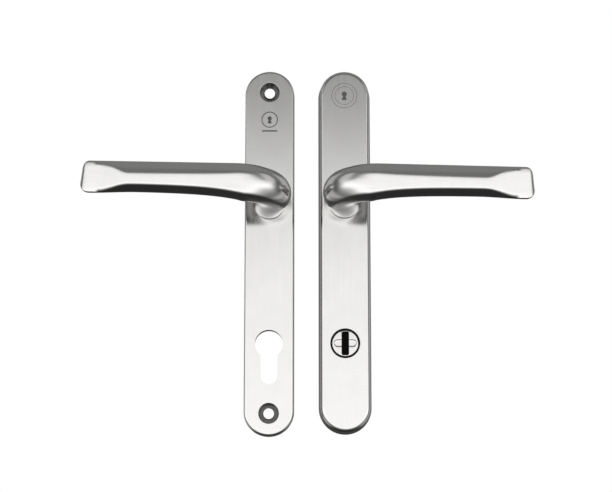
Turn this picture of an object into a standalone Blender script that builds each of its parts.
"""Pair of lever door handles on long round-ended plates, for a door with a euro-profile lock.

Metres, +Z up. The door's face is the plane y = 0 and the plates stand on its front side, towards -Y.
The inside handle is at -X and the outside handle, with its turning key guard, at +X.
Every handle is drawn lying on its back: x to the right, y up the door and z out of the door.
Its parent empty then stands it up, so that drawn z becomes world -Y and drawn y becomes world +Z.
"""

from math import acos, asin, cos, exp, hypot, pi, radians, sin
from types import SimpleNamespace

import bmesh
import bpy
from mathutils import Matrix, Vector

MM = 0.001
GAP = 0.3 * MM
WELD = 0.005 * MM

# Heights on the plates, from the spindle's axis
PLATE_TOP = 89 * MM
UPPER_FIXING = 74.5 * MM
LOWER_FIXING = -136.5 * MM
CYLINDER_AXIS = -92 * MM
HANDLE_SPACING = 49 * MM

# Cover plates and the frames inside them
INSIDE = SimpleNamespace(
    name="inside", hand=-1, width=32.5 * MM, depth=9 * MM, sheet=1.5 * MM,
    bottom=-151 * MM, draft=0.3 * MM, edge_radius=1.3 * MM,
    wire=0.9 * MM, cam=1.1 * MM, turns=1, rest_tilt=-1.0,
)
OUTSIDE = SimpleNamespace(
    name="outside", hand=1, width=34 * MM, depth=12 * MM, sheet=2.0 * MM,
    bottom=-149.6 * MM, draft=1.2 * MM, edge_radius=2.2 * MM,
    wire=1.1 * MM, cam=1.6 * MM, turns=2, rest_tilt=-1.45,
)
END_ARC_STEPS = 16
ROUND_STEPS = 24
SMALL_ROUND_STEPS = 10
FRAME_FRONT_WALL = 1.5 * MM
FRAME_EDGE = 1.0 * MM
SPRING_POCKET_RADIUS = 12.3 * MM
RIB_POCKET_WIDTH = 19 * MM

# Fixings
FIXING_HOLE_RADIUS = 3.4 * MM
COUNTERSINK_RADIUS = 6.5 * MM
BOSS_RADIUS = 8 * MM
POST_RADIUS = 4.5 * MM
POST_FLANGE_RADIUS = 6.5 * MM
POST_FLANGE_THICKNESS = 2 * MM
POST_LENGTH = 12 * MM
POST_THREAD_RADIUS = 2.5 * MM
COVER_SCREW_HEIGHTS = {"upper": 50 * MM, "lower": -58 * MM}
COVER_BOSS_RADIUS = 3.6 * MM
COVER_BOSS_BACK = 4 * MM

# Euro-profile opening
EURO_RADIUS = 9 * MM
EURO_LEG = 11.1 * MM
EURO_HEIGHT = 34.8 * MM

# Key guard in the outside plate
GUARD_HOLE_RADIUS = 9.6 * MM
GUARD_DISC_RADIUS = 8.35 * MM
GUARD_FLANGE_RADIUS = 11 * MM
GUARD_DISC_BACK = 6.2 * MM
GUARD_FLANGE_THICKNESS = 2.2 * MM
GUARD_RECESS = 0.25 * MM
INSERT_RADIUS = 8.6 * MM
INSERT_THICKNESS = 1.0 * MM
INSERT_SLIT = 0.8 * MM
INSERT_SLIT_HEIGHT = 13 * MM
KEY_SLOT_WIDTH = 4.8 * MM
KEY_SLOT_HEIGHT = 15.4 * MM
KEY_SLOT_CORNER = 1.2 * MM
SCOOP_WIDTH = 14.6 * MM
SCOOP_HEIGHT = 5 * MM
SCOOP_DEPTH = 0.6 * MM
DRILL_PLATE_WIDTH = 24 * MM
DRILL_PLATE_THICKNESS = 1.5 * MM
DRILL_PLATE_TOP = 15 * MM
DRILL_PLATE_BOTTOM = -34 * MM
DRILL_SCREW_HEIGHTS = {"upper": 12 * MM, "lower": -31 * MM}

# Lever and the shank that carries it
LEVER_REACH = 118 * MM
LEVER_PROJECTION = 48 * MM
BAR_FRONT = 6.5 * MM
BAR_BACK = 6.2 * MM
BEND_RADIUS = 20 * MM
HUB_RADIUS = 10.5 * MM
NECK_BULGE = 2.4 * MM
JOURNAL_RADIUS = 8 * MM
SHANK_RADIUS = 7 * MM
SHANK_FLAT = 6.2 * MM
SHANK_BACK = -6.2 * MM
RING_SEAT = -1.75 * MM
RING_THICKNESS = 0.9 * MM
RING_GROOVE_RADIUS = 6.3 * MM
RING_OUTER_RADIUS = 9.4 * MM
SOCKET_SIDE = 8.6 * MM
SOCKET_DEPTH = 24 * MM
BAR_HALF_HEIGHT = 9.8 * MM
NECK_EXTRA_HEIGHT = 2.3 * MM
NECK_EXTRA_FADE = 20 * MM
NECK_EXTRA_START = 16 * MM
NECK_WIDENING = 1.5 * MM
NECK_HEIGHTENING = 0.9 * MM
NECK_THINNING = 4.3 * MM
TIP_EXTRA_HEIGHT = 0.5 * MM
TIP_EXTRA_SPAN = (82 * MM, 112 * MM)
TIP_CUTBACK = 4.7 * MM
TIP_CUTBACK_SPAN = (84 * MM, 111 * MM)
TIP_RADIUS = 2.6 * MM
TIP_SLANT = 1.2 * MM
BAR_TOP = 12.1 * MM
HUB_RISE = 4.3 * MM
BEND_RISE = 0.7 * MM
HUB_FOOT_BEVEL = 0.5 * MM
SECTION_SHARPNESS = 18
UPPER_FRONT_FLAT = (42, 6.85 * MM)
LOWER_FRONT_FLAT = (-56, 8.5 * MM)
UPPER_BACK_FLAT = (138, 7.9 * MM)
LOWER_BACK_FLAT = (222, 7.9 * MM)
NECK_SHARES = (0, 0.04, 0.12, 0.35, 0.6, 0.82)
BAR_SPACING = 1.25
LEVER_SIDES = 20
BEND_STEPS = 7
BAR_STEPS = 11

# Bearings and return springs round the shank
BUSH_BORE_RADIUS = 8.3 * MM
BUSH_RADIUS = 8.9 * MM
BUSH_FLANGE_RADIUS = 10.3 * MM
BUSH_FLANGE_THICKNESS = 0.6 * MM
BUSH_HOLE_RADIUS = 9.2 * MM
WASHER_RADIUS = 11.6 * MM
CAM_RADIUS = 10.6 * MM
CAM_LUG_RADIUS = 11.9 * MM
CAM_LUG_HALF_ANGLE = 13
SPRING_MEAN_RADIUS = 9.6 * MM
SPRING_LEG_RADIUS = 11.5 * MM
SPRING_LEG_ANGLE = 24
SPRING_POINTS_PER_TURN = 16
SPRING_PLATE_WIDTH = 25 * MM
SPRING_PLATE_HEIGHT = 42 * MM
SPRING_PLATE_THICKNESS = 0.9 * MM
SPRING_PLATE_HOLE = 8.6 * MM
SPRING_SCREW_OFFSET = 16.5 * MM
SPRING_PEG_INNER = 10.8 * MM

# Spindle
SPINDLE_SIDE = 8 * MM
SPINDLE_FRONT = 23 * MM
SPINDLE_BACK = -56 * MM
SPINDLE_CHAMFER = 0.6 * MM
PIN_RADIUS = 1 * MM
PIN_DEPTH = -4.4 * MM
PIN_LENGTH = 12.6 * MM

# Small countersunk screws, all put in from behind
SCREW_HEAD_RADIUS = 2.3 * MM
SCREW_HEAD_HEIGHT = 0.9 * MM
SCREW_SHANK_RADIUS = 1.2 * MM
SCREW_SOCKET_RADIUS = 1.0 * MM
SCREW_SOCKET_DEPTH = 0.6 * MM
PLATE_SCREW_LENGTH = 3.9 * MM
DRILL_SCREW_LENGTH = 3.7 * MM
COVER_SCREW_LENGTH = 7.4 * MM
SCREW_BORE_SPARE = 0.6 * MM

STEEL_SATIN = ("satin_stainless", (0.62, 0.61, 0.59), 0.32, 1.0)
STEEL_PLAIN = ("plain_steel", (0.48, 0.48, 0.48), 0.38, 1.0)
STEEL_HARD = ("hardened_steel", (0.16, 0.16, 0.17), 0.45, 1.0)
STEEL_SPRING = ("spring_steel", (0.30, 0.29, 0.28), 0.35, 1.0)
ZINC = ("die_cast_zinc", (0.42, 0.43, 0.44), 0.55, 1.0)
POLYMER = ("black_polymer", (0.012, 0.012, 0.013), 0.5, 0.0)


# ---------------------------------------------------------------- helpers
def clear_scene():
    for item in list(bpy.data.objects):
        bpy.data.objects.remove(item)


def new_collection(name):
    group = bpy.data.collections.new(name)
    bpy.context.scene.collection.children.link(group)
    return group


def material(spec):
    name, colour, roughness, metallic = spec
    found = bpy.data.materials.get(name)
    if found:
        return found
    made = bpy.data.materials.new(name)
    made.use_nodes = True
    shader = made.node_tree.nodes["Principled BSDF"]
    shader.inputs["Base Color"].default_value = (*colour, 1)
    shader.inputs["Roughness"].default_value = roughness
    shader.inputs["Metallic"].default_value = metallic
    return made


def new_object(name, mesh, group, parent=None, spec=None):
    item = bpy.data.objects.new(name, mesh)
    group.objects.link(item)
    item.parent = parent
    if spec:
        mesh.materials.append(material(spec))
    return item


def new_empty(name, parent=None, location=(0, 0, 0), rotation=(0, 0, 0)):
    item = bpy.data.objects.new(name, None)
    PARTS.objects.link(item)
    item.parent = parent
    item.location = location
    item.rotation_euler = rotation
    return item


def smooth(item, angle=32):
    item.data.shade_smooth()
    item.data.set_sharp_from_angle(angle=radians(angle))


def arc(centre, radius, start, end, steps):
    """Points on an arc, in degrees, both ends included."""
    points = []
    for i in range(steps + 1):
        a = radians(start + (end - start) * i / steps)
        points.append((centre[0] + radius * cos(a), centre[1] + radius * sin(a)))
    return points


def circle(radius, centre=(0, 0), steps=ROUND_STEPS):
    return arc(centre, radius, 0, 360, steps)[:-1]


def stadium(width, top, bottom, steps=END_ARC_STEPS):
    """Long outline with half-round ends, anticlockwise."""
    radius = width / 2
    upper = arc((0, top - radius), radius, 0, 180, steps)
    lower = arc((0, bottom + radius), radius, 180, 360, steps)
    return upper + lower


def slot_outline(width, height, corner, centre=(0, 0), steps=3):
    """Rectangle with round corners, anticlockwise."""
    x, y = width / 2 - corner, height / 2 - corner
    points = []
    for sx, sy, start in ((1, 1, 0), (-1, 1, 90), (-1, -1, 180), (1, -1, 270)):
        middle = (centre[0] + sx * x, centre[1] + sy * y)
        points += arc(middle, corner, start, start + 90, steps)
    return points


def euro_outline(grow=0.0, centre=(0, CYLINDER_AXIS)):
    """Round head with a narrower round-ended leg below it, anticlockwise from the leg's right side."""
    radius = EURO_RADIUS + grow
    half = EURO_LEG / 2 + grow
    meet = asin(half / radius) * 180 / pi
    foot = EURO_RADIUS - EURO_HEIGHT + EURO_LEG / 2
    head = arc(centre, radius, -90 + meet, 270 - meet, 20)
    leg_end = arc((centre[0], centre[1] + foot), half, 180, 360, 8)
    return head + leg_end


def flat_mesh(name, outlines, back, front):
    """Flat plate between two depths: the first outline less the others."""
    curve = bpy.data.curves.new(name, "CURVE")
    curve.dimensions = "2D"
    curve.fill_mode = "BOTH"
    curve.extrude = (front - back) / 2
    for outline in outlines:
        spline = curve.splines.new("POLY")
        spline.points.add(len(outline) - 1)
        for point, (x, y) in zip(spline.points, outline):
            point.co = (x, y, 0, 1)
        spline.use_cyclic_u = True
    guide = bpy.data.objects.new(name + "_outline", curve)
    bpy.context.scene.collection.objects.link(guide)
    shift = Matrix.Translation((0, 0, (front + back) / 2))
    return mesh_from(guide, name, shift)


def mesh_from(guide, name, shift=None):
    """The mesh of a curve or a modified object, its caps welded on; the guide is removed."""
    graph = bpy.context.evaluated_depsgraph_get()
    mesh = bpy.data.meshes.new_from_object(guide.evaluated_get(graph))
    mesh.name = name
    if shift:
        mesh.transform(shift)
    work = bmesh.new()
    work.from_mesh(mesh)
    bmesh.ops.remove_doubles(work, verts=work.verts, dist=WELD)
    bmesh.ops.recalc_face_normals(work, faces=work.faces)
    work.to_mesh(mesh)
    work.free()
    mesh.materials.clear()
    bpy.data.objects.remove(guide)
    return mesh


def flat_piece(name, outlines, back, front, parent, spec):
    item = new_object(name, flat_mesh(name, outlines, back, front), PARTS, parent, spec)
    smooth(item)
    return item


def turned_mesh(name, profile, steps=ROUND_STEPS):
    """Solid of revolution about z. The profile is (radius, depth), down the outer side and up the inner."""
    mesh = bpy.data.meshes.new(name)
    count = len(profile)
    closed = profile[0][0] > 0 and profile[-1][0] > 0
    edges = [(i, i + 1) for i in range(count - 1)]
    if closed:
        edges.append((count - 1, 0))
    mesh.from_pydata([(radius, 0, depth) for radius, depth in profile], edges, [])
    guide = bpy.data.objects.new(name + "_profile", mesh)
    bpy.context.scene.collection.objects.link(guide)
    screw = guide.modifiers.new("turn", "SCREW")
    screw.steps = steps
    screw.render_steps = steps
    screw.use_merge_vertices = True
    screw.merge_threshold = WELD
    return mesh_from(guide, name)


def turned_piece(name, profile, parent, spec, location=(0, 0, 0), steps=ROUND_STEPS):
    item = new_object(name, turned_mesh(name, profile, steps), PARTS, parent, spec)
    item.location = location
    smooth(item)
    return item


def cut(item, mesh, parent, operation="DIFFERENCE"):
    """Boolean with a cutter that stays beside the parts as a wire guide."""
    cutter = new_object(mesh.name + "_cutter", mesh, CUTTERS, parent)
    cutter.hide_render = True
    cutter.display_type = "WIRE"
    step = item.modifiers.new(mesh.name, "BOOLEAN")
    step.operation = operation
    step.object = cutter
    return step


def disc_mesh(name, radius, back, front, centre=(0, 0), steps=ROUND_STEPS):
    return flat_mesh(name, [circle(radius, centre, steps)], back, front)


def ease(value, start, end):
    """Smooth step from 0 at start to 1 at end."""
    t = min(1.0, max(0.0, (value - start) / (end - start)))
    return t * t * (3 - 2 * t)


# ---------------------------------------------------------------- plates
def stack(kind):
    """Depths, from the door, of what sits behind one cover plate."""
    inner = kind.depth - kind.sheet
    frame_front = inner - GAP
    pocket = frame_front - FRAME_FRONT_WALL
    washer_front = pocket - GAP
    washer_back = washer_front - 0.4 * MM
    cam_front = washer_back - GAP
    cam_back = cam_front - kind.cam
    plate_back = 0.3 * MM
    plate_front = plate_back + SPRING_PLATE_THICKNESS
    return SimpleNamespace(
        inner=inner, frame_front=frame_front, pocket=pocket,
        washer_front=washer_front, washer_back=washer_back,
        cam_front=cam_front, cam_back=cam_back,
        plate_front=plate_front, plate_back=plate_back,
    )


def cover_shell(name, kind, parent):
    """Pressed cover: the face and its drafted wall as an open surface, rounded and thickened."""
    face = stadium(kind.width - 2 * kind.draft, PLATE_TOP - kind.draft, kind.bottom + kind.draft)
    foot = stadium(kind.width, PLATE_TOP, kind.bottom)
    work = bmesh.new()
    corners = [work.verts.new((x, y, kind.depth)) for x, y in face]
    top = work.faces.new(corners)
    wall = bmesh.ops.extrude_edge_only(work, edges=list(top.edges))["geom"]
    lowered = [v for v in wall if isinstance(v, bmesh.types.BMVert)]
    nearest = {tuple(round(c / WELD) for c in point): foot[i] for i, point in enumerate(face)}
    for vert in lowered:
        x, y = nearest[tuple(round(c / WELD) for c in vert.co.xy)]
        vert.co = (x, y, GAP)
    bmesh.ops.recalc_face_normals(work, faces=work.faces)
    mesh = bpy.data.meshes.new(name)
    work.to_mesh(mesh)
    work.free()
    item = new_object(name, mesh, PARTS, parent, STEEL_SATIN)
    bevel = item.modifiers.new("edge", "BEVEL")
    bevel.width = kind.edge_radius
    bevel.segments = 3
    bevel.limit_method = "ANGLE"
    bevel.angle_limit = radians(50)
    skin = item.modifiers.new("sheet", "SOLIDIFY")
    skin.thickness = kind.sheet
    skin.offset = -1
    skin.use_even_offset = True
    return item


def countersink_mesh(name, depth, height):
    """Screw hole with its 45 degree sink, as one turned cutter."""
    sink = COUNTERSINK_RADIUS - FIXING_HOLE_RADIUS
    over = 0.5 * MM
    profile = [
        (0, depth + over),
        (COUNTERSINK_RADIUS + over, depth + over),
        (COUNTERSINK_RADIUS + over, depth + over / 2),
        (FIXING_HOLE_RADIUS, depth - sink - over / 2),
        (FIXING_HOLE_RADIUS, -over),
        (0, -over),
    ]
    mesh = turned_mesh(name, profile)
    mesh.transform(Matrix.Translation((0, height, 0)))
    return mesh


def inside_cover(kind, parent):
    layers = stack(kind)
    item = cover_shell("inside_cover_plate", kind, parent)
    for place, height in (("upper", UPPER_FIXING), ("lower", LOWER_FIXING)):
        top = layers.inner + kind.sheet / 2
        boss = disc_mesh(f"inside_{place}_boss", BOSS_RADIUS, 2 * MM, top, (0, height))
        cut(item, boss, parent, "UNION")
        cut(item, countersink_mesh(f"inside_{place}_hole", kind.depth, height), parent)
    cut(item, flat_mesh("inside_euro_hole", [euro_outline()], -MM, kind.depth + MM), parent)
    cut(item, disc_mesh("inside_bush_hole", BUSH_HOLE_RADIUS, MM, kind.depth + MM), parent)
    smooth(item)
    return item


def outside_cover(kind, parent):
    layers = stack(kind)
    item = cover_shell("outside_cover_plate", kind, parent)
    for place, height in COVER_SCREW_HEIGHTS.items():
        top = layers.inner + kind.sheet / 2
        boss = disc_mesh(f"cover_{place}_boss", COVER_BOSS_RADIUS, COVER_BOSS_BACK, top, (0, height))
        cut(item, boss, parent, "UNION")
        bore_front = GAP + COVER_SCREW_LENGTH + SCREW_BORE_SPARE
        cut(item, screw_bore_mesh(f"cover_{place}_bore", 0, bore_front, (0, height)), parent)
    cut(item, disc_mesh("outside_bush_hole", BUSH_HOLE_RADIUS, MM, kind.depth + MM), parent)
    guard = disc_mesh("guard_hole", GUARD_HOLE_RADIUS, MM, kind.depth + MM, (0, CYLINDER_AXIS), 28)
    cut(item, guard, parent)
    smooth(item)
    return item


def frame_body(kind, parent):
    """Die-cast frame that fills the cover, with the pocket for the return spring in its back."""
    layers = stack(kind)
    inset = kind.sheet + kind.draft + GAP
    outline = stadium(kind.width - 2 * inset, PLATE_TOP - inset, kind.bottom + inset)
    mesh = flat_mesh(f"{kind.name}_frame", [outline], 0, layers.frame_front)
    item = new_object(f"{kind.name}_frame", mesh, PARTS, parent, ZINC)
    edge = item.modifiers.new("edge", "BEVEL")
    edge.width = FRAME_EDGE
    edge.segments = 1
    edge.limit_method = "ANGLE"
    edge.angle_limit = radians(50)
    names = kind.name
    spring_pocket = disc_mesh(f"{names}_spring_pocket", SPRING_POCKET_RADIUS, -MM, layers.pocket, steps=32)
    cut(item, spring_pocket, parent)
    cut(item, disc_mesh(f"{names}_journal_hole", BUSH_HOLE_RADIUS, -MM, kind.depth), parent)
    seat = slot_outline(SPRING_PLATE_WIDTH + 2 * GAP, SPRING_PLATE_HEIGHT + 2 * GAP, 3 * MM)
    cut(item, flat_mesh(f"{names}_plate_seat", [seat], -MM, layers.plate_front + GAP), parent)
    for place, side in (("upper", 1), ("lower", -1)):
        spot = (0, side * SPRING_SCREW_OFFSET)
        top = layers.plate_back + PLATE_SCREW_LENGTH + SCREW_BORE_SPARE
        cut(item, screw_bore_mesh(f"{names}_{place}_screw_bore", 0, top, spot), parent)
    return item


def screw_bore_mesh(name, back, front, spot):
    return disc_mesh(name, SCREW_SHANK_RADIUS + GAP, back, front, spot, SMALL_ROUND_STEPS)


def screw_hole_mesh(name, spot, back, front):
    """Countersunk hole for a small screw, its sink open towards the door."""
    shank = SCREW_SHANK_RADIUS + GAP
    head = SCREW_HEAD_RADIUS + GAP
    profile = [
        (0, front),
        (shank, front),
        (shank, back + SCREW_HEAD_HEIGHT),
        (head, back),
        (head, back - MM),
        (0, back - MM),
    ]
    mesh = turned_mesh(name, profile, SMALL_ROUND_STEPS)
    mesh.transform(Matrix.Translation((*spot, 0)))
    return mesh


def rib_pocket(item, kind, parent, label, top, bottom):
    """Hollow in the frame's back, as cast to save metal."""
    centre = (0, (top + bottom) / 2)
    outline = slot_outline(RIB_POCKET_WIDTH, top - bottom, 3 * MM, centre)
    front = stack(kind).pocket
    cut(item, flat_mesh(f"{kind.name}_{label}_pocket", [outline], -MM, front), parent)


def inside_frame(kind, parent):
    item = frame_body(kind, parent)
    for place, height in (("upper", UPPER_FIXING), ("lower", LOWER_FIXING)):
        clear = BOSS_RADIUS + GAP
        cut(item, disc_mesh(f"inside_{place}_clearance", clear, -MM, kind.depth, (0, height)), parent)
    cut(item, flat_mesh("inside_euro_clearance", [euro_outline(GAP)], -MM, kind.depth), parent)
    rib_pocket(item, kind, parent, "upper", 62 * MM, 25 * MM)
    rib_pocket(item, kind, parent, "lower", -26 * MM, -78 * MM)
    smooth(item)
    return item


def outside_frame(kind, parent):
    item = frame_body(kind, parent)
    layers = stack(kind)
    for place, height in (("upper", UPPER_FIXING), ("lower", LOWER_FIXING)):
        seat = POST_FLANGE_RADIUS + GAP
        front = POST_FLANGE_THICKNESS + 2 * GAP
        cut(item, disc_mesh(f"post_{place}_seat", seat, -MM, front, (0, height)), parent)
    for place, height in COVER_SCREW_HEIGHTS.items():
        clear = COVER_BOSS_RADIUS + GAP
        floor = COVER_BOSS_BACK - 2 * GAP
        cut(item, disc_mesh(f"cover_{place}_clearance", clear, floor, kind.depth, (0, height)), parent)
        cut(item, screw_hole_mesh(f"cover_{place}_screw_hole", (0, height), GAP, floor + GAP), parent)
    guard = GUARD_FLANGE_RADIUS + GAP
    floor = GUARD_DISC_BACK - GAP
    cut(item, disc_mesh("guard_seat", guard, floor, kind.depth, (0, CYLINDER_AXIS), 28), parent)
    cut(item, flat_mesh("outside_euro_pocket", [euro_outline()], -MM, floor + MM), parent)
    middle = (0, CYLINDER_AXIS + (DRILL_PLATE_TOP + DRILL_PLATE_BOTTOM) / 2)
    height = DRILL_PLATE_TOP - DRILL_PLATE_BOTTOM + 2 * GAP
    seat = slot_outline(DRILL_PLATE_WIDTH + 2 * GAP, height, 4 * MM, middle)
    cut(item, flat_mesh("drill_plate_seat", [seat], -MM, DRILL_PLATE_THICKNESS + 2 * GAP), parent)
    for place, offset in DRILL_SCREW_HEIGHTS.items():
        spot = (0, CYLINDER_AXIS + offset)
        top = GAP + DRILL_SCREW_LENGTH + SCREW_BORE_SPARE
        cut(item, screw_bore_mesh(f"drill_{place}_screw_bore", 0, top, spot), parent)
    rib_pocket(item, kind, parent, "upper", 44 * MM, 25 * MM)
    rib_pocket(item, kind, parent, "lower", -25 * MM, -52 * MM)
    smooth(item)
    return item


# ---------------------------------------------------------------- lever
def lever_path(kind):
    """Stations along the lever, from the hub on the plate, through the bend, to the tip."""
    base = hub_back(kind)
    axis_depth = kind.depth + LEVER_PROJECTION - BAR_FRONT
    bend_start = axis_depth - BEND_RADIUS
    stations = []
    for share in NECK_SHARES:
        stations.append((0, base + (bend_start - base) * share, 0))
    for i in range(BEND_STEPS + 1):
        turn = pi / 2 * i / BEND_STEPS
        x = BEND_RADIUS * (1 - cos(turn))
        stations.append((x, bend_start + BEND_RADIUS * sin(turn), turn))
    for i in range(1, BAR_STEPS + 1):
        share = i / BAR_STEPS
        x = BEND_RADIUS + (LEVER_REACH - BEND_RADIUS) * (1 - (1 - share) ** BAR_SPACING)
        stations.append((x, axis_depth, pi / 2))
    return stations


def hub_back(kind):
    """Depth of the hub's foot, just clear of the bush's flange."""
    return kind.depth + BUSH_FLANGE_THICKNESS + 2 * GAP


def bar_half_height(x):
    near_neck = NECK_EXTRA_HEIGHT * exp(-max(0, x - NECK_EXTRA_START) / NECK_EXTRA_FADE)
    near_tip = TIP_EXTRA_HEIGHT * ease(x, *TIP_EXTRA_SPAN)
    return BAR_HALF_HEIGHT + near_neck + near_tip


def bar_reach(angle, front, x):
    """Distance from the bar's centre to its skin: flats with softened corners between them."""
    half = bar_half_height(x)
    scale = half / BAR_HALF_HEIGHT
    flats = [(0, front), (90, half), (180, BAR_BACK), (270, half)]
    for facing, distance in (UPPER_FRONT_FLAT, LOWER_FRONT_FLAT, UPPER_BACK_FLAT, LOWER_BACK_FLAT):
        flats.append((facing, distance * scale))
    total = 0
    for facing, distance in flats:
        along = cos(angle - radians(facing))
        if along > 0:
            total += (along / distance) ** SECTION_SHARPNESS
    return total ** (-1 / SECTION_SHARPNESS)


def lever_ring(x, depth, turn, kind):
    """One section of the lever, square to its path: round at the neck, flat-sided on the bar."""
    square = pi / 2
    flat = ease(turn, 0.22 * square, square)
    bar_axis = kind.depth + LEVER_PROJECTION - BAR_FRONT
    rise = HUB_RISE * ease(depth, hub_back(kind), bar_axis) + BEND_RISE * ease(x, 0, BEND_RADIUS)
    swell = ease(depth, hub_back(kind), bar_axis - BEND_RADIUS)
    thick = HUB_RADIUS + NECK_WIDENING * swell - NECK_THINNING * ease(turn, 0.13 * square, square)
    bulge = NECK_BULGE * swell * (1 - ease(turn, 0.2 * square, square))
    high = HUB_RADIUS + NECK_HEIGHTENING * swell
    high += (bar_half_height(x) - high) * ease(turn, 0, square)
    cutback = TIP_CUTBACK * ease(x, *TIP_CUTBACK_SPAN)
    drop = (BAR_TOP - bar_half_height(x)) * ease(turn, 0.5 * square, square)
    outward = Vector((-cos(turn), 0, sin(turn)))
    centre = Vector((x, rise + drop, depth)) + outward * bulge
    up = Vector((0, 1, 0))
    points = []
    for i in range(LEVER_SIDES):
        angle = 2 * pi * i / LEVER_SIDES
        oval = 1 / hypot(cos(angle) / thick, sin(angle) / high)
        bar = bar_reach(angle, BAR_FRONT - cutback, x)
        reach = oval + (bar - oval) * flat
        points.append(centre + outward * (reach * cos(angle)) + up * (reach * sin(angle)))
    return points


def shrink(points, amount, shift):
    """The same section drawn in towards its centre and moved along x, for the rounded end."""
    middle = sum(points, Vector()) / len(points)
    made = []
    for point in points:
        out = point - middle
        made.append(middle + out * (1 - amount / out.length) + Vector((shift, 0, 0)))
    return made


def round_ring(radius, depth):
    """Round section of the shank, its points in step with those of the lever's sections."""
    points = []
    for i in range(LEVER_SIDES):
        angle = 2 * pi * i / LEVER_SIDES
        points.append(Vector((-radius * cos(angle), radius * sin(angle), depth)))
    return points


def lever_mesh(name, kind):
    back = hub_back(kind)
    journal_back = stack(kind).cam_front + GAP
    groove_front = RING_SEAT + RING_THICKNESS / 2 + GAP
    groove_back = RING_SEAT - RING_THICKNESS / 2 - GAP
    rings = [
        round_ring(SHANK_RADIUS, SHANK_BACK),
        round_ring(SHANK_RADIUS, groove_back),
        round_ring(RING_GROOVE_RADIUS, groove_back),
        round_ring(RING_GROOVE_RADIUS, groove_front),
        round_ring(SHANK_RADIUS, groove_front),
        round_ring(SHANK_RADIUS, journal_back),
        round_ring(JOURNAL_RADIUS, journal_back),
        round_ring(JOURNAL_RADIUS, back),
        round_ring(HUB_RADIUS - HUB_FOOT_BEVEL, back),
    ]
    stations = lever_path(kind)
    rings += [lever_ring(*station, kind) for station in stations[1:]]
    rings += tip_rings(rings[-1])
    work = bmesh.new()
    rows = [[work.verts.new((kind.hand * p.x, p.y, p.z)) for p in ring] for ring in rings]
    for low, high in zip(rows, rows[1:]):
        for i in range(LEVER_SIDES):
            j = (i + 1) % LEVER_SIDES
            work.faces.new((low[i], low[j], high[j], high[i]))
    work.faces.new(rows[0])
    work.faces.new(rows[-1])
    bmesh.ops.recalc_face_normals(work, faces=work.faces)
    mesh = bpy.data.meshes.new(name)
    work.to_mesh(mesh)
    work.free()
    return mesh


def tip_rings(last):
    """Rounded end of the bar, slanted so that it reaches slightly further at the bottom."""
    middle = sum(last, Vector()) / len(last)
    for point in last:
        share = (middle.y - point.y) / BAR_HALF_HEIGHT
        point.x += TIP_SLANT / 2 * (share - 1)
    made = []
    for degrees in (30, 60, 85):
        a = radians(degrees)
        made.append(shrink(last, TIP_RADIUS * (1 - cos(a)), TIP_RADIUS * (sin(a) - 1)))
    for point in last:
        point.x -= TIP_RADIUS
    return made


def shank_flats(kind, parent, item):
    """Two flats along the shank that drive the cam."""
    front = stack(kind).cam_front + GAP
    back = SHANK_BACK - MM
    deep = 4 * MM
    for side, label in ((-1, "left"), (1, "right")):
        centre = (side * (SHANK_FLAT + deep / 2), 0)
        outline = slot_outline(deep, 20 * MM, 0.2 * MM, centre, 1)
        cut(item, flat_mesh(f"{kind.name}_{label}_flat", [outline], back, front), parent)


def lever(kind, parent):
    name = f"{kind.name}_lever"
    item = new_object(name, lever_mesh(name, kind), PARTS, parent, STEEL_SATIN)
    shank_flats(kind, parent, item)
    socket = slot_outline(SOCKET_SIDE, SOCKET_SIDE, 0.3 * MM, steps=1)
    cut(item, flat_mesh(f"{kind.name}_socket", [socket], SHANK_BACK - MM, SOCKET_DEPTH), parent)
    if kind is OUTSIDE:
        cut(item, cross_pin_mesh("pin_hole", PIN_RADIUS + GAP / 2, 16 * MM), parent)
    smooth(item, 40)
    return item


# ---------------------------------------------------------------- bearings and return spring
def neck_bush(kind, parent):
    layers = stack(kind)
    front = kind.depth + GAP
    profile = [
        (BUSH_FLANGE_RADIUS, front + BUSH_FLANGE_THICKNESS - GAP),
        (BUSH_FLANGE_RADIUS, front),
        (BUSH_RADIUS, front),
        (BUSH_RADIUS, layers.pocket + GAP),
        (BUSH_BORE_RADIUS, layers.pocket + GAP),
        (BUSH_BORE_RADIUS, front + BUSH_FLANGE_THICKNESS - GAP),
    ]
    return turned_piece(f"{kind.name}_neck_bush", profile, parent, POLYMER)


def thrust_washer(kind, parent):
    layers = stack(kind)
    rings = [circle(WASHER_RADIUS), circle(BUSH_BORE_RADIUS)]
    name = f"{kind.name}_thrust_washer"
    return flat_piece(name, rings, layers.washer_back, layers.washer_front, parent, STEEL_PLAIN)


def double_d(grow, steps=6):
    """Bore with two flats that fits the shank."""
    radius = SHANK_RADIUS + grow
    half = SHANK_FLAT + grow
    angle = acos(half / radius) * 180 / pi
    upper = arc((0, 0), radius, angle, 180 - angle, steps)
    lower = arc((0, 0), radius, 180 + angle, 360 - angle, steps)
    return upper + lower


def spring_cam(kind, parent):
    """Ring on the shank's flats, with a lug below that pushes the spring's legs."""
    layers = stack(kind)
    lug = CAM_LUG_HALF_ANGLE
    rim = arc((0, 0), CAM_RADIUS, -90 + lug, 270 - lug, 20)
    edge = arc((0, 0), CAM_LUG_RADIUS, 270 - lug, 270 + lug, 4)
    name = f"{kind.name}_spring_cam"
    rings = [rim + edge, double_d(GAP)]
    item = flat_piece(name, rings, layers.cam_back, layers.cam_front, parent, STEEL_PLAIN)
    reach = arc((0, 0), CAM_LUG_RADIUS, 270 - lug, 270 + lug, 4)
    root = arc((0, 0), SPRING_PEG_INNER, 270 + lug, 270 - lug, 4)
    foot = layers.cam_back - spring_room(kind) / 2 + GAP
    cut(item, flat_mesh(f"{kind.name}_cam_lug", [reach + root], foot, layers.cam_front), parent, "UNION")
    return item


def spring_room(kind):
    """Height left for the spring between the cam and the spring plate."""
    layers = stack(kind)
    return layers.cam_back - layers.plate_front


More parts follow.
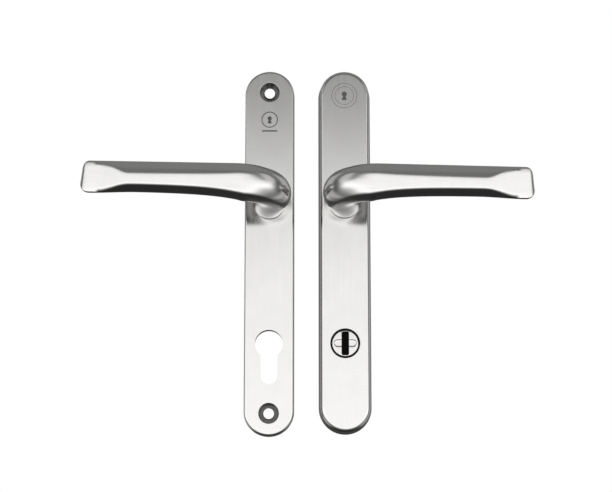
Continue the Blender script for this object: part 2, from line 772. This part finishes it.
def return_spring(kind, parent):
    """Torsion spring round the shank, its legs standing either side of the cam's lug."""
    layers = stack(kind)
    name = f"{kind.name}_return_spring"
    low = layers.plate_front + GAP + kind.wire / 2
    high = layers.cam_back - GAP - kind.wire / 2
    start = 270 + SPRING_LEG_ANGLE
    sweep = 360 * kind.turns - 2 * SPRING_LEG_ANGLE
    steps = kind.turns * SPRING_POINTS_PER_TURN
    points = []
    for i in range(steps + 1):
        share = i / steps
        a = radians(start + sweep * share)
        depth = low + (high - low) * share
        points.append((SPRING_MEAN_RADIUS * cos(a), SPRING_MEAN_RADIUS * sin(a), depth))
    first = radians(start)
    last = radians(start + sweep)
    points.insert(0, (SPRING_LEG_RADIUS * cos(first), SPRING_LEG_RADIUS * sin(first), low))
    points.append((SPRING_LEG_RADIUS * cos(last), SPRING_LEG_RADIUS * sin(last), high))
    curve = bpy.data.curves.new(name, "CURVE")
    curve.dimensions = "3D"
    curve.bevel_depth = kind.wire / 2
    curve.bevel_resolution = 2
    curve.use_fill_caps = True
    spline = curve.splines.new("POLY")
    spline.points.add(len(points) - 1)
    for point, place in zip(spline.points, points):
        point.co = (*place, 1)
    guide = bpy.data.objects.new(name + "_line", curve)
    bpy.context.scene.collection.objects.link(guide)
    item = new_object(name, mesh_from(guide, name), PARTS, parent, STEEL_SPRING)
    smooth(item, 60)
    return item


def spring_plate(kind, parent):
    """Plate that closes the spring pocket, with a peg that holds the spring's resting legs."""
    layers = stack(kind)
    name = f"{kind.name}_spring_plate"
    outline = slot_outline(SPRING_PLATE_WIDTH, SPRING_PLATE_HEIGHT, 2.8 * MM)
    hole = circle(SPRING_PLATE_HOLE)
    item = flat_piece(name, [outline, hole], layers.plate_back, layers.plate_front, parent, STEEL_PLAIN)
    reach = arc((0, 0), CAM_LUG_RADIUS, 270 - CAM_LUG_HALF_ANGLE, 270 + CAM_LUG_HALF_ANGLE, 4)
    root = arc((0, 0), SPRING_PEG_INNER, 270 + CAM_LUG_HALF_ANGLE, 270 - CAM_LUG_HALF_ANGLE, 4)
    top = layers.plate_front + spring_room(kind) / 2 - GAP
    middle = (layers.plate_back + layers.plate_front) / 2
    cut(item, flat_mesh(f"{kind.name}_spring_peg", [reach + root], middle, top), parent, "UNION")
    for place, side in (("upper", 1), ("lower", -1)):
        spot = (0, side * SPRING_SCREW_OFFSET)
        front = layers.plate_front + GAP
        cut(item, screw_hole_mesh(f"{name}_{place}_hole", spot, layers.plate_back, front), parent)
    return item


def small_screw(name, parent, spot, back, length):
    """Countersunk screw put in from behind, its head's flat face at the depth called back."""
    profile = [
        (0, back + length),
        (SCREW_SHANK_RADIUS, back + length),
        (SCREW_SHANK_RADIUS, back + SCREW_HEAD_HEIGHT),
        (SCREW_HEAD_RADIUS, back),
        (SCREW_SOCKET_RADIUS, back),
        (SCREW_SOCKET_RADIUS, back + SCREW_SOCKET_DEPTH),
        (0, back + SCREW_SOCKET_DEPTH),
    ]
    return turned_piece(name, profile, parent, STEEL_PLAIN, (*spot, 0), SMALL_ROUND_STEPS)


def retaining_ring(kind, parent):
    """Open ring snapped into the shank's groove, behind the spring plate."""
    outer = arc((0, 0), RING_OUTER_RADIUS, 110, 430, 20)
    inner = arc((0, 0), RING_GROOVE_RADIUS + GAP, 430, 110, 20)
    back = RING_SEAT - RING_THICKNESS / 2
    name = f"{kind.name}_retaining_ring"
    return flat_piece(name, [outer + inner], back, back + RING_THICKNESS, parent, STEEL_SPRING)


# ---------------------------------------------------------------- outside only
def cross_pin_mesh(name, radius, length):
    """Cylinder across the shank, along x."""
    mesh = disc_mesh(name, radius, -length / 2, length / 2, steps=12)
    mesh.transform(Matrix.Translation((0, 0, PIN_DEPTH)) @ Matrix.Rotation(pi / 2, 4, "Y"))
    return mesh


def spindle(parent):
    outline = slot_outline(SPINDLE_SIDE, SPINDLE_SIDE, SPINDLE_CHAMFER, steps=1)
    item = flat_piece("spindle", [outline], SPINDLE_BACK, SPINDLE_FRONT, parent, STEEL_PLAIN)
    cut(item, cross_pin_mesh("spindle_pin_hole", PIN_RADIUS + GAP / 2, 2 * SPINDLE_SIDE), parent)
    return item


def spindle_pin(parent):
    mesh = cross_pin_mesh("spindle_pin", PIN_RADIUS - GAP / 2, PIN_LENGTH)
    item = new_object("spindle_pin", mesh, PARTS, parent, STEEL_SPRING)
    smooth(item)
    return item


def guard_disc(kind, parent):
    """Turning disc with the key slot, its rear flange trapped between cover and frame."""
    front = kind.depth - GUARD_RECESS
    shoulder = GUARD_DISC_BACK + GUARD_FLANGE_THICKNESS
    edge = 0.3 * MM
    profile = [
        (0, front),
        (GUARD_DISC_RADIUS - edge, front),
        (GUARD_DISC_RADIUS, front - edge),
        (GUARD_DISC_RADIUS, shoulder),
        (GUARD_FLANGE_RADIUS, shoulder),
        (GUARD_FLANGE_RADIUS, GUARD_DISC_BACK),
        (0, GUARD_DISC_BACK),
    ]
    item = turned_piece("guard_disc", profile, parent, STEEL_SATIN, steps=28)
    slot = slot_outline(KEY_SLOT_WIDTH, KEY_SLOT_HEIGHT, KEY_SLOT_CORNER)
    cut(item, flat_mesh("key_slot", [slot], GUARD_DISC_BACK - MM, front + MM), parent)
    seat_front = GUARD_DISC_BACK + INSERT_THICKNESS + 2 * GAP
    cut(item, disc_mesh("insert_seat", INSERT_RADIUS + GAP, 0, seat_front), parent)
    scoop = slot_outline(SCOOP_WIDTH, SCOOP_HEIGHT, SCOOP_HEIGHT * 0.45)
    cut(item, flat_mesh("key_scoop", [scoop], front - SCOOP_DEPTH, front + MM), parent)
    return item


def slot_lips(parent):
    """Black rubber insert behind the disc, slit so that the key pushes through it."""
    slit = slot_outline(INSERT_SLIT, INSERT_SLIT_HEIGHT, INSERT_SLIT * 0.4)
    back = GUARD_DISC_BACK + GAP
    rings = [circle(INSERT_RADIUS), slit]
    return flat_piece("key_slot_lips", rings, back, back + INSERT_THICKNESS, parent, POLYMER)


def guard_ring(kind, parent):
    """Black bearing ring in the cover's hole, round the turning disc."""
    rings = [circle(GUARD_HOLE_RADIUS - GAP / 2, steps=28), circle(GUARD_DISC_RADIUS + GAP / 2, steps=28)]
    back = GUARD_DISC_BACK + GUARD_FLANGE_THICKNESS + GAP
    item = flat_piece("guard_bearing_ring", rings, back, kind.depth - 2 * GUARD_RECESS, parent, POLYMER)
    return item


def drill_plate(parent):
    """Hardened plate behind the guard, with the cylinder's opening through it."""
    middle = (0, CYLINDER_AXIS + (DRILL_PLATE_TOP + DRILL_PLATE_BOTTOM) / 2)
    outline = slot_outline(DRILL_PLATE_WIDTH, DRILL_PLATE_TOP - DRILL_PLATE_BOTTOM, 4 * MM, middle)
    front = GAP + DRILL_PLATE_THICKNESS
    item = flat_piece("anti_drill_plate", [outline, euro_outline(GAP)], GAP, front, parent, STEEL_HARD)
    for place, offset in DRILL_SCREW_HEIGHTS.items():
        spot = (0, CYLINDER_AXIS + offset)
        cut(item, screw_hole_mesh(f"drill_{place}_hole", spot, GAP, front + GAP), parent)
    return item


def fixing_post(place, height, parent):
    """Threaded post that takes the through bolt from the inside handle."""
    flange_front = GAP + POST_FLANGE_THICKNESS
    profile = [
        (POST_FLANGE_RADIUS, flange_front),
        (POST_FLANGE_RADIUS, GAP),
        (POST_RADIUS, GAP),
        (POST_RADIUS, -POST_LENGTH + 0.5 * MM),
        (POST_RADIUS - 0.5 * MM, -POST_LENGTH),
        (POST_THREAD_RADIUS, -POST_LENGTH),
        (POST_THREAD_RADIUS, flange_front),
    ]
    return turned_piece(f"fixing_post_{place}", profile, parent, STEEL_PLAIN, (0, height, 0))


# ---------------------------------------------------------------- assembly
def build_handle(kind):
    side = kind.hand * HANDLE_SPACING / 2
    base = new_empty(f"{kind.name}_handle_base", location=(side, 0, 0), rotation=(pi / 2, 0, 0))
    turning = new_empty(f"{kind.name}_lever_axis", base, rotation=(0, 0, radians(kind.rest_tilt)))
    layers = stack(kind)
    neck_bush(kind, base)
    thrust_washer(kind, base)
    spring_cam(kind, turning)
    return_spring(kind, base)
    spring_plate(kind, base)
    for place, offset in (("upper", SPRING_SCREW_OFFSET), ("lower", -SPRING_SCREW_OFFSET)):
        name = f"{kind.name}_spring_plate_screw_{place}"
        small_screw(name, base, (0, offset), layers.plate_back, PLATE_SCREW_LENGTH)
    lever(kind, turning)
    retaining_ring(kind, turning)
    return base, turning


def build():
    base, _ = build_handle(INSIDE)
    inside_cover(INSIDE, base)
    inside_frame(INSIDE, base)
    base, turning = build_handle(OUTSIDE)
    outside_cover(OUTSIDE, base)
    outside_frame(OUTSIDE, base)
    spindle(turning)
    spindle_pin(turning)
    guard_axis = new_empty("guard_axis", base, (0, CYLINDER_AXIS, 0))
    guard_disc(OUTSIDE, guard_axis)
    slot_lips(guard_axis)
    guard_ring(OUTSIDE, guard_axis)
    drill_plate(base)
    for place, height in (("upper", UPPER_FIXING), ("lower", LOWER_FIXING)):
        fixing_post(place, height, base)
    for place, height in COVER_SCREW_HEIGHTS.items():
        small_screw(f"cover_screw_{place}", base, (0, height), GAP, COVER_SCREW_LENGTH)
    for place, offset in DRILL_SCREW_HEIGHTS.items():
        spot = (0, CYLINDER_AXIS + offset)
        small_screw(f"anti_drill_screw_{place}", base, spot, GAP, DRILL_SCREW_LENGTH)


clear_scene()
PARTS = new_collection("lever_handle_pair")
CUTTERS = new_collection("cutters")
build()
